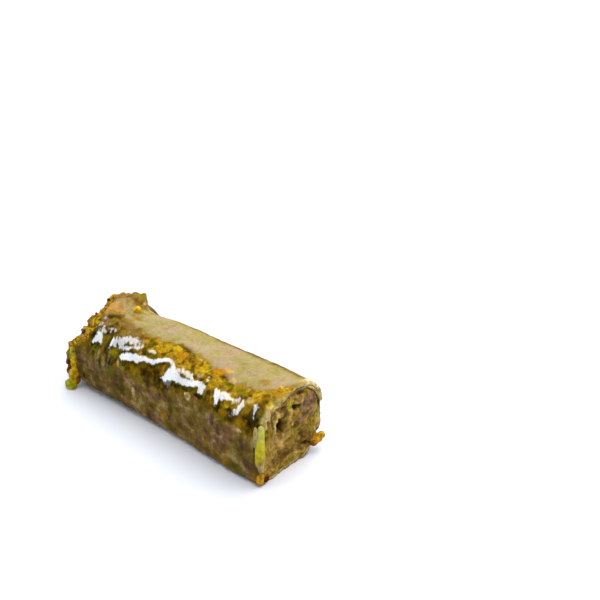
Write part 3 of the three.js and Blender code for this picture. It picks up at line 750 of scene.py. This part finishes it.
def add_mesh(name, points, faces, material):
    mesh = bpy.data.meshes.new(name)
    mesh.from_pydata(points, [], faces)
    mesh.materials.append(material)
    made = bpy.data.objects.new(name, mesh)
    bpy.context.scene.collection.objects.link(made)
    return made


def add_piece(name, points, faces, values, material):
    piece = add_mesh(name, to_frame(points), faces, material)
    piece.data.shade_smooth()
    for value, numbers in values.items():
        layer = piece.data.attributes.new(value, "FLOAT", "POINT")
        layer.data.foreach_set("value", np.asarray(numbers, dtype=np.float32))
    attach(piece, "root")
    return piece


# ---------------- materials


def linear(code):
    """An sRGB hex colour as linear RGBA."""
    parts = [int(code[k : k + 2], 16) / 255 for k in (1, 3, 5)]
    return (*[p / 12.92 if p <= 0.04045 else ((p + 0.055) / 1.055) ** 2.4 for p in parts], 1.0)


def add(tree, kind, sockets, out=0, stops=(), **settings):
    """Adds a node with its settings, its colour stops and its links, and gives an output of it."""
    made = tree.nodes.new("ShaderNode" + kind)
    for name, value in settings.items():
        setattr(made, name, value)
    while stops and len(made.color_ramp.elements) < len(stops):
        made.color_ramp.elements.new(0.5)
    for k, (place, code) in enumerate(stops):
        made.color_ramp.elements[k].position = place
        made.color_ramp.elements[k].color = linear(code)
    for socket, value in sockets.items():
        if isinstance(value, bpy.types.NodeSocket):
            tree.links.new(value, made.inputs[socket])
        else:
            made.inputs[socket].default_value = value
    return made.outputs[out] if len(made.outputs) else None


def per_mm(tree, size):
    """Object coordinates counted in steps of that many mm."""
    place = add(tree, "TexCoord", {}, "Object")
    return add(tree, "VectorMath", {0: place, "Scale": 1 / (size * MM)}, operation="SCALE")


def cloudy(tree, size, detail=3.0, rough=0.6):
    """The settings of noise whose patches are about that many mm across."""
    return {"Vector": per_mm(tree, size), "Scale": 1.0, "Detail": detail, "Roughness": rough}


def new_tree(name):
    material = bpy.data.materials.new(name)
    material.use_nodes = True
    material.node_tree.nodes.clear()
    return material, material.node_tree


def drawn_out(tree, around, width, length, slant):
    """Noise in streaks of that many mm, drawn out at that many degrees from the roll's length."""
    along = add(tree, "SeparateXYZ", {0: per_mm(tree, 1)}, "X")
    c, s = math.cos(math.radians(slant)), math.sin(math.radians(slant))
    steps = {"Z": 0.0}
    for axis, a, b in (("X", s / width, -c / width), ("Y", c / length, s / length)):
        turned = add(tree, "Math", {0: around, 1: b}, operation="MULTIPLY")
        steps[axis] = add(tree, "Math", {0: along, 1: a, 2: turned}, operation="MULTIPLY_ADD")
    place = add(tree, "CombineXYZ", steps)
    streaks = {"Vector": place, "Scale": 1.0, "Detail": 2.0, "Roughness": 0.5}
    return add(tree, "TexNoise", streaks)


def soaked_phyllo():
    """Phyllo pastry that has drunk hot syrup: olive brown where it lies thick, amber and
    yellow-green where the nut shows through, under a wet film that mirrors what is round it."""
    material, tree = new_tree("syrup_soaked_phyllo")
    shown = {name: add(tree, "Attribute", {}, "Fac", attribute_name=name) for name in sheet_values}

    # Its cloudy patterns: how many mm across their patches are, how detailed and how rough.
    clouds = {
        name: add(tree, "TexNoise", cloudy(tree, size, *settings))
        for name, size, *settings in (
            ("wall", 2.2, 5.0, 0.62), ("tinge", 3.4, 3.0, 0.55), ("top", 2.0, 6.0, 0.7),
            ("blush", 3.6, 2.0, 0.5), ("patch", 2.3, 4.0, 0.55), ("mottle", 0.8),
            ("fray", 0.9), ("fleck", 0.5), ("film", 2.6, 3.0, 0.5), ("grain", 0.3),
            ("ripple", 0.9, 2.0, 0.5),
        )
    }
    # The same, each drawn from its low and high values to others.
    drawn = {
        name: add(tree, "MapRange", dict(enumerate((clouds[name], *limits))))
        for name, *limits in (
            ("mottle", 0.35, 0.55, 0.55, 1.0), ("fray", 0.38, 0.58, 0.25, 1.0),
            ("fleck", 0.3, 0.7, 0.72, 1.28), ("film", 0.38, 0.62, 0.7, 1.1),
        )
    }
    # The colours of its dull wall and pale top, and of the nutty band between them: golden along
    # the shoulder, darker below (partly painted shade), browner far along.
    colours = {
        name: add(tree, "ValToRGB", {0: clouds[cloud]}, stops=stops)
        for name, cloud, stops in (
            ("wall", "wall", [
                (0.35, "#2b1e08"), (0.43, "#553f14"), (0.5, "#715726"), (0.56, "#806634"),
                (0.64, "#af8e60"),
            ]),
            ("tinge", "tinge", [
                (0.38, "#704a42"), (0.46, "#74562a"), (0.54, "#705e18"), (0.62, "#625e18"),
            ]),
            # The pale top's colours: paler pastry, lightened and whitened further as a painted
            # sheen.
            ("top", "top", [
                (0.34, "#8b793a"), (0.42, "#a99249"), (0.48, "#a39558"), (0.54, "#b19a56"),
                (0.6, "#af9271"), (0.68, "#aaa56a"),
            ]),
            ("blush", "blush", [
                (0.38, "#c09b99"), (0.47, "#b8a17b"), (0.54, "#a7a353"), (0.62, "#9f9462"),
            ]),
            ("rich", "patch", [
                (0.36, "#483406"), (0.42, "#7c5e0a"), (0.47, "#ac8418"), (0.53, "#d2a824"),
                (0.58, "#988018"), (0.66, "#c08a20"),
            ]),
            # The colours below the shoulder: darker, partly as painted shade.
            ("deep", "patch", [
                (0.35, "#281c04"), (0.42, "#403006"), (0.49, "#604a08"), (0.55, "#866410"),
                (0.6, "#5e5410"), (0.68, "#7c7218"),
            ]),
            ("browned", "patch", [
                (0.35, "#3e2c08"), (0.42, "#5e4610"), (0.48, "#806020"), (0.53, "#9c762c"),
                (0.58, "#7a6820"), (0.66, "#a17f3c"),
            ]),
        )
    }
    codes = (
        "#241904", "#453230", "#5a3c10", "#94743c", "#56500e", "#646410", "#94901a",
        "#9a700e", "#c27c14", "#dcb818", "#d6b87c", "#cc8e34", "#98684c",
    )
    colours["bits"] = add(tree, "ValToRGB", {0: shown["tone"]}, stops=list(zip(TONES, codes)))
    # The pale edge colour, which also paints highlights, and the dark colour of the painted shade.
    colours["edge"], colours["painted_shade"] = linear("#ecd08e"), linear("#2a1f08")
    for name, cloud in (("shows", "mottle"), ("edge", "fray")):
        shown[name] = add(tree, "Math", {0: shown[name], 1: drawn[cloud]}, operation="MULTIPLY")

    # What lies over what: the bits that show through, and the pale edges (partly painted
    # highlights) and the painted shade, last.
    for name, under, share, over in (
        ("wall", "wall", 0.35, "tinge"),
        ("top", "top", 0.3, "blush"),
        ("base", "wall", shown["top"], "top"),
        ("rich", "rich", shown["dull"], "browned"),
        ("band_and_shade", "rich", shown["low"], "deep"),
        ("base", "base", shown["nut"], "band_and_shade"),
        ("base", "base", shown["shows"], "bits"),
        ("base", "base", shown["edge"], "edge"),
        ("base", "base", shown["painted_shade"], "painted_shade"),
    ):
        sockets = {0: share, 6: colours[under], 7: colours[over]}
        colours[name] = add(tree, "Mix", sockets, 2, data_type="RGBA")
    worn = add(tree, "Math", {0: shown["top"], 1: -0.6, 2: 1.0}, operation="MULTIPLY_ADD")
    speckled = {"Value": drawn["fleck"], "Fac": worn, "Color": colours["base"]}

    # The wet film: full in the runs of syrup, whose edges are ragged, and thin beside them.
    rough = add(tree, "MapRange", {0: shown["gleam"], 1: 0.75, 2: 0.95, 3: 2.6, 4: 0.75})
    streaks = drawn_out(tree, shown["around"], 0.42, 2.0, 62)
    run = clouds["mottle"]
    for operation, other in (
        ("ADD", streaks), ("SUBTRACT", 1.0), ("MULTIPLY", rough), ("ADD", shown["run"]),
    ):
        run = add(tree, "Math", {0: run, 1: other}, operation=operation)
    sheen = add(tree, "Math", {0: shown["film"], 1: drawn["film"]}, operation="MULTIPLY")
    wet = add(tree, "MapRange", {0: run, 1: -0.12, 2: 0.16, 3: sheen, 4: shown["gleam"]})

    # The pastry's own fine grain, and the ripples of the film over it.
    grain = {"Height": clouds["grain"], "Strength": 0.5, "Distance": 0.06 * MM}
    rippled = {"Height": clouds["ripple"], "Strength": 0.4, "Distance": 0.06 * MM}
    shader = add(tree, "BsdfPrincipled", {
        "Base Color": add(tree, "HueSaturation", speckled), "Roughness": 0.55, "IOR": 1.45,
        "Specular IOR Level": 0.0, "Normal": add(tree, "Bump", grain), "Coat Weight": wet,
        "Coat Roughness": 0.09, "Coat IOR": 1.5, "Coat Normal": add(tree, "Bump", rippled),
    })
    add(tree, "OutputMaterial", {"Surface": shader})
    return material


def ground_pistachio():
    """Ground pistachio bound with syrup: each grain its own green, yellow or brown, damp, with the
    gaps between the grains painted dark as their shade."""
    material, tree = new_tree("ground_pistachio")
    shown = {name: add(tree, "Attribute", {}, "Fac", attribute_name=name) for name in core_values}
    clouds = {
        name: add(tree, "TexNoise", cloudy(tree, size, *settings))
        for name, size, *settings in (
            ("paste", 2.0, 4.0, 0.6), ("rich", 1.6, 5.0, 0.65), ("fleck", 0.7),
            ("fine", 0.3, 3.0, 0.5),
        )
    }

    # The paste between the grains, the richer one at the torn end, and the grains.
    codes = (
        "#2a1a0e", "#80644e", "#5c401a", "#b08c50", "#6f5e16", "#666a10", "#a8a81c",
        "#9a7426", "#b87414", "#ccaa1e", "#d6b878", "#bc8a54", "#9a6648",
    )
    base, rich, grain = (
        add(tree, "ValToRGB", {0: factor}, stops=stops)
        for factor, stops in (
            (clouds["paste"], [
                (0.34, "#44300c"), (0.41, "#74581c"), (0.48, "#967636"), (0.54, "#a8863c"),
                (0.6, "#8c6c34"), (0.68, "#bc9c58"),
            ]),
            (clouds["rich"], [
                (0.36, "#40280a"), (0.43, "#80560c"), (0.48, "#b48612"), (0.53, "#c4a01c"),
                (0.58, "#8e7c16"), (0.65, "#6a3814"),
            ]),
            (shown["tone"], list(zip(TONES, codes))),
        )
    )
    for share, over in ((shown["far"], rich), (shown["shows"], grain)):
        base = add(tree, "Mix", {0: share, 6: base, 7: over}, 2, data_type="RGBA")
    # Painted shade: the lower a point lies among the grains, the darker, most of all at the torn
    # end.
    darkest_gap_shade = add(tree, "MapRange", {0: shown["far"], 1: 0.0, 2: 1.0, 3: 0.72, 4: 0.4})
    gaps = add(tree, "MapRange", {0: shown["height"], 1: 0.0, 2: 0.5, 3: darkest_gap_shade, 4: 1.04})
    fleck = add(tree, "MapRange", {0: clouds["fleck"], 1: 0.3, 2: 0.7, 3: 0.62, 4: 1.54})
    value = add(tree, "Math", {0: gaps, 1: fleck}, operation="MULTIPLY")
    rough = {"Height": clouds["fine"], "Strength": 0.6, "Distance": 0.08 * MM}
    shader = add(tree, "BsdfPrincipled", {
        "Base Color": add(tree, "HueSaturation", {"Value": value, "Color": base}),
        "Roughness": 0.6, "IOR": 1.45, "Specular IOR Level": 0.0, "Coat Weight": 0.03,
        "Normal": add(tree, "Bump", rough), "Coat Roughness": 0.25, "Coat IOR": 1.45,
    })
    add(tree, "OutputMaterial", {"Surface": shader})
    return material


def nut_bit(name, dark, light, stain=None):
    """A chopped bit of nut, wet with syrup, its colour clouded, and stained by height if it is."""
    material, tree = new_tree(name)
    cloud = add(tree, "TexNoise", cloudy(tree, 0.8))
    colour = add(tree, "ValToRGB", {0: cloud}, stops=[(0.35, dark), (0.65, light)])
    if stain:
        height = add(tree, "SeparateXYZ", {0: per_mm(tree, 1)}, "Z")
        uneven = add(tree, "TexNoise", cloudy(tree, 1.2))
        level = add(tree, "Math", {0: uneven, 1: 6.0, 2: height}, operation="MULTIPLY_ADD")
        share = add(tree, "MapRange", {0: level, 1: 6.5, 2: 15.5})
        stained = add(tree, "ValToRGB", {0: share}, stops=stain)
        colour = add(tree, "Mix", {0: 0.7, 6: colour, 7: stained}, 2, data_type="RGBA")
    fine = add(tree, "TexNoise", cloudy(tree, 0.2, 3.0, 0.5))
    rough = add(tree, "Bump", {"Height": fine, "Strength": 0.5, "Distance": 0.05 * MM})
    shader = add(tree, "BsdfPrincipled", {
        "Base Color": colour, "Roughness": 0.5, "IOR": 1.46, "Specular IOR Level": 0.0,
        "Normal": rough, "Coat Weight": 0.04, "Coat Roughness": 0.2,
    })
    add(tree, "OutputMaterial", {"Surface": shader})
    return material


# ---------------- chopped bits of nut


def ball(detail):
    """The points and faces of a unit sphere of small triangles."""
    shape = bmesh.new()
    bmesh.ops.create_icosphere(shape, subdivisions=detail, radius=1.0)
    points = np.array([v.co[:] for v in shape.verts])
    faces = np.array([[v.index for v in f.verts] for f in shape.faces])
    shape.free()
    return points, faces


BALL_POINTS, BALL_FACES = ball(3)
CUTS, CUT_DEPTH = 16, (0.1, 0.5)  # into a ball of radius 1


def chip(draw, place, size, spin=1.0, blunt=1.0):
    """A chopped bit: a ball that is cut flat on many sides and pulled to its own proportions, with
    its ends made more blunt where it is long."""
    points = BALL_POINTS.copy()
    height = np.abs(points[:, 2:])
    points[:, :2] *= ((1 - height ** (2 * blunt)) / np.maximum(1 - height**2, 1e-6)) ** 0.5
    for _ in range(CUTS):
        normal = draw.normal(size=3)
        normal /= np.linalg.norm(normal)
        over = np.maximum(points @ normal - 1 + draw.uniform(*CUT_DEPTH) / blunt, 0)
        points -= over[:, None] * normal
    points *= np.array(size) / np.ptp(points, axis=0)
    axis = Vector(draw.normal(size=3)).normalized()
    turn = np.array(Matrix.Rotation(spin * draw.uniform(0, 2 * math.pi), 3, axis))
    return points @ turn + np.array(place)


# The dark and the light colour of each kind.
KINDS = {
    "kernel_green": ("#5a5c08", "#a8a41c"),
    "kernel_yellow": ("#8a6a08", "#e0b61a"),
    "skin_brown": ("#3a160a", "#6a3012"),
    "syrup_amber": ("#7c540c", "#dca426"),
    "syrup_rust": ("#6e3c10", "#a4641a"),
    "kernel_pale": ("#8c7844", "#c0a870"),
    "kernel_lime": ("#807c08", "#b8b014"),
    "kernel_sliver": ("#5e5c0c", "#e0d860"),
    "kernel_bright": ("#c89014", "#f4d040"),
}
# The stain of the long sliver at the front corner of the cut, from its foot to its top.
SLIVER_STAIN = [
    (0.0, "#94643c"), (0.22, "#a07c24"), (0.42, "#c8b010"), (0.6, "#c2ba14"), (0.95, "#c4c068"),
]

# The crumbs of the torn end: their sizes in mm, how far they are sunk in and how far apart they
# keep, in shares of a crumb's size, and their kinds.
CRUMB_SIZES, CRUMB_SUNK, CRUMBS_APART = (0.8, 1.9), 0.75, 0.45
CRUMB_KINDS = ("kernel_green", "kernel_yellow", "skin_brown", "syrup_amber")
INNER_RADIUS = 6.6  # within which they are greener

chips = {kind: [] for kind in KINDS}
draw = np.random.default_rng(20)
core_points, core_faces, core_values = core_mesh()


def perch(places, normals, count, shares):
    """Lays crumbs on a crumbly surface at random places that keep clear of each other."""
    taken = []
    for k in draw.permutation(len(places)):
        size = draw.uniform(*CRUMB_SIZES)
        gaps = (np.linalg.norm(places[k] - place) / (size + other) for place, other in taken)
        if all(gap > CRUMBS_APART for gap in gaps):
            taken.append((places[k], size))
            kind = CRUMB_KINDS[draw.choice(len(shares), p=shares)]
            sides = size * draw.uniform(0.7, 1.25, size=3)
            place = places[k] + normals[k] * size * (0.5 - CRUMB_SUNK)
            place[2] = max(place[2], 0.55 * size)
            chips[kind].append(chip(draw, place, sides))
        if len(taken) == count:
            break


core_normals = normals_of(core_points, core_faces)
core_heights = core_points[:, 2] - AXIS_HEIGHT
core_angles = np.degrees(np.arctan2(core_heights, core_points[:, 1])) % 360
at_far = core_points[:, 0] < far_edge(core_angles) - 0.4
inner = np.hypot(core_points[:, 1], core_heights) < INNER_RADIUS
for chosen, count, shares in (
    (at_far & ~inner, 270, (0.14, 0.43, 0.05, 0.38)),
    (at_far & inner, 200, (0.36, 0.22, 0.14, 0.28)),
):
    perch(core_points[chosen], core_normals[chosen], count, shares)

# The larger bits of the two ends: their kind, middle and size.
NAMED_BITS = [
    ("kernel_sliver", (25.5, -8.25, 8.6), (2.0, 1.9, 8.4)),
    ("kernel_pale", (25.0, -8.75, 10.6), (0.9, 0.9, 4.4)),
    ("kernel_pale", (25.5, -8.2, 4.2), (1.4, 1.4, 2.6)),
    ("kernel_pale", (25.6, -7.7, 5.6), (1.0, 1.0, 3.4)),
    ("syrup_amber", (25.5, -8.4, 1.6), (1.6, 1.7, 2.6)),
    ("skin_brown", (25.5, -7.0, 1.0), (1.3, 1.5, 1.6)),
    ("syrup_amber", (26.1, 6.8, 2.9), (2.0, 3.8, 1.7)),
    ("syrup_amber", (26.2, 7.9, 3.1), (1.5, 1.8, 1.4)),
    ("syrup_rust", (26.1, 5.7, 2.5), (1.5, 2.0, 1.3)),
    ("kernel_green", (-27.4, -7.6, 7.4), (2.8, 2.8, 4.0)),
    ("skin_brown", (-28.6, -8.8, 5.2), (1.6, 1.3, 1.0)),
    ("skin_brown", (-28.5, -9.1, 3.3), (1.3, 1.2, 1.7)),
    ("syrup_rust", (-28.4, -8.9, 4.4), (0.9, 0.9, 0.9)),
    ("kernel_yellow", (-27.2, -8.0, 5.0), (2.5, 2.5, 4.4)),
    ("kernel_yellow", (-27.2, -8.8, 2.7), (2.6, 2.5, 3.8)),
    ("syrup_rust", (-26.2, -8.8, 2.0), (1.2, 1.2, 2.2)),
    ("kernel_lime", (-27.2, -9.9, 1.05), (2.6, 2.4, 1.9)),
]
for kind, place, size in NAMED_BITS:
    chips[kind].append(chip(draw, place, size, spin=0.03, blunt=3.0))

# Bits stuck in the glaze: their kind, angle, x and size.
STUCK_BITS = [
    ("kernel_bright", 80, -17.6, 2.1),
    ("kernel_bright", 99, 24.4, 1.3),
    ("kernel_pale", 156, 7.0, 0.9),
    ("kernel_pale", 128, 10.6, 0.6),
]
for kind, angle, x, size in STUCK_BITS:
    here = np.array(float(angle)), np.array(float(x))
    place = point_at(*here, -lip(*here) - 0.2 * size - 0.15, 0)
    chips[kind].append(chip(draw, place, (size, size, 0.9 * size)))

# ---------------- the pieces

sheet = add_piece(
    "phyllo_wrap", sheet_points, sheet_faces, sheet_values, soaked_phyllo()
)
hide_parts("phyllo_sheet")

core = add_piece(
    "pistachio_core", core_points, core_faces, core_values, ground_pistachio()
)
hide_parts("pistachio_filling")

# The chips of a kind are one mesh, flat where they rest on the table.
for kind, laid in chips.items():
    points = np.maximum(np.concatenate(laid), (-np.inf, -np.inf, 0))
    faces = np.concatenate([BALL_FACES + k * len(BALL_POINTS) for k in range(len(laid))])
    material = nut_bit(kind, *KINDS[kind], SLIVER_STAIN if kind == "kernel_sliver" else None)
    add_piece(kind, points, faces.tolist(), {}, material)

# ---------------- table, light and camera

TABLE_SIZE = 4.0  # half its side, in metres
MIDDLE = (0, 0, 0.009)  # of the roll, in metres


def table():
    material, tree = new_tree("white_paper")
    shader = add(tree, "BsdfPrincipled", {"Base Color": linear("#f0f4ff"), "Roughness": 0.8})
    add(tree, "OutputMaterial", {"Surface": shader})
    corners = [(x * TABLE_SIZE, y * TABLE_SIZE, 0) for x, y in ((-1, -1), (1, -1), (1, 1), (-1, 1))]
    add_mesh("table_top", corners, [(0, 1, 2, 3)], material)


def set_up(name, data, place, right, up, back):
    """Adds a light or a camera that looks the opposite way to back."""
    made = bpy.data.objects.new(name, data)
    bpy.context.scene.collection.objects.link(made)
    turn = Matrix((right, up, back)).transposed().to_4x4()
    made.matrix_world = Matrix.Translation(place) @ turn
    return made


def softbox(name, direction, colour, long_axis, *, distance, width, height, brightness):
    """A rectangular light that far off in that direction, in metres, of that radiance."""
    light = bpy.data.lights.new(name, "AREA")
    light.shape = "RECTANGLE"
    light.size = width
    light.size_y = height
    light.energy = brightness * math.pi * width * height
    light.color = linear(colour)[:3]
    place = Vector(MIDDLE) + Vector(direction).normalized() * distance
    back = (place - Vector(MIDDLE)).normalized()
    side = Vector(long_axis)
    up = (side - back * side.dot(back)).normalized()
    return set_up(name, light, place, up.cross(back), up, back)


# One softbox overhead lights the roll. The other, low at the front, only shows in the syrup.
softbox(
    "overhead_softbox", (0.22, 0.2, 0.955), "#fffdf8", (0, 1, 0),
    distance=1.4, width=1.7, height=1.7, brightness=3.3,
)
streak = softbox(
    "side_softbox", (-0.5, -0.73, 0.54), "#e9f3ff", (0, 0.73, 0.68),
    distance=1.0, width=1.45, height=1.25, brightness=18.0,
)
streak.visible_diffuse = False

BEHIND = (-0.6578, 0.7532, 0.0)  # the level direction past the roll's far side


def surroundings():
    """White surroundings, bright low down behind the roll and dim overhead and before it."""
    world = bpy.data.worlds.new("studio")
    bpy.context.scene.world = world
    world.use_nodes = True
    tree = world.node_tree
    tree.nodes.clear()
    view = add(tree, "TexCoord", {}, "Generated")
    height = add(tree, "SeparateXYZ", {0: view}, "Z")
    behind = add(tree, "VectorMath", {0: view, 1: BEHIND}, "Value", operation="DOT_PRODUCT")
    back = add(tree, "MapRange", {0: behind, 1: 0.0, 2: 0.5, 3: 0.12, 4: 1.1})
    low = add(tree, "MapRange", {0: height, 1: 0.55, 2: 0.68, 3: 1.8, 4: 0.2})
    strength = add(tree, "Math", {0: back, 1: low}, operation="MULTIPLY")
    light = add(tree, "Background", {"Color": linear("#e9f1ff"), "Strength": strength})
    add(tree, "OutputWorld", {"Surface": light})


CAMERA_PLACE = (132.026, -119.358, 118.113)  # in mm
CAMERA_TURN = 41.13
CAMERA_PITCH = 27.5
LENS = 63.0


def camera():
    turn, pitch = math.radians(CAMERA_TURN), math.radians(CAMERA_PITCH)
    level = math.cos(pitch)
    back = Vector((math.sin(turn) * level, -math.cos(turn) * level, math.sin(pitch)))
    right = Vector((math.cos(turn), math.sin(turn), 0))
    up = back.cross(right)
    data = bpy.data.cameras.new("camera")
    data.lens = LENS
    data.sensor_width = 36.0
    data.clip_start = 0.01
    place = Vector(to_frame(CAMERA_PLACE))
    bpy.context.scene.camera = set_up("camera", data, place, right, up, back)


table()
surroundings()
camera()
bpy.context.scene.view_settings.view_transform = "Standard"
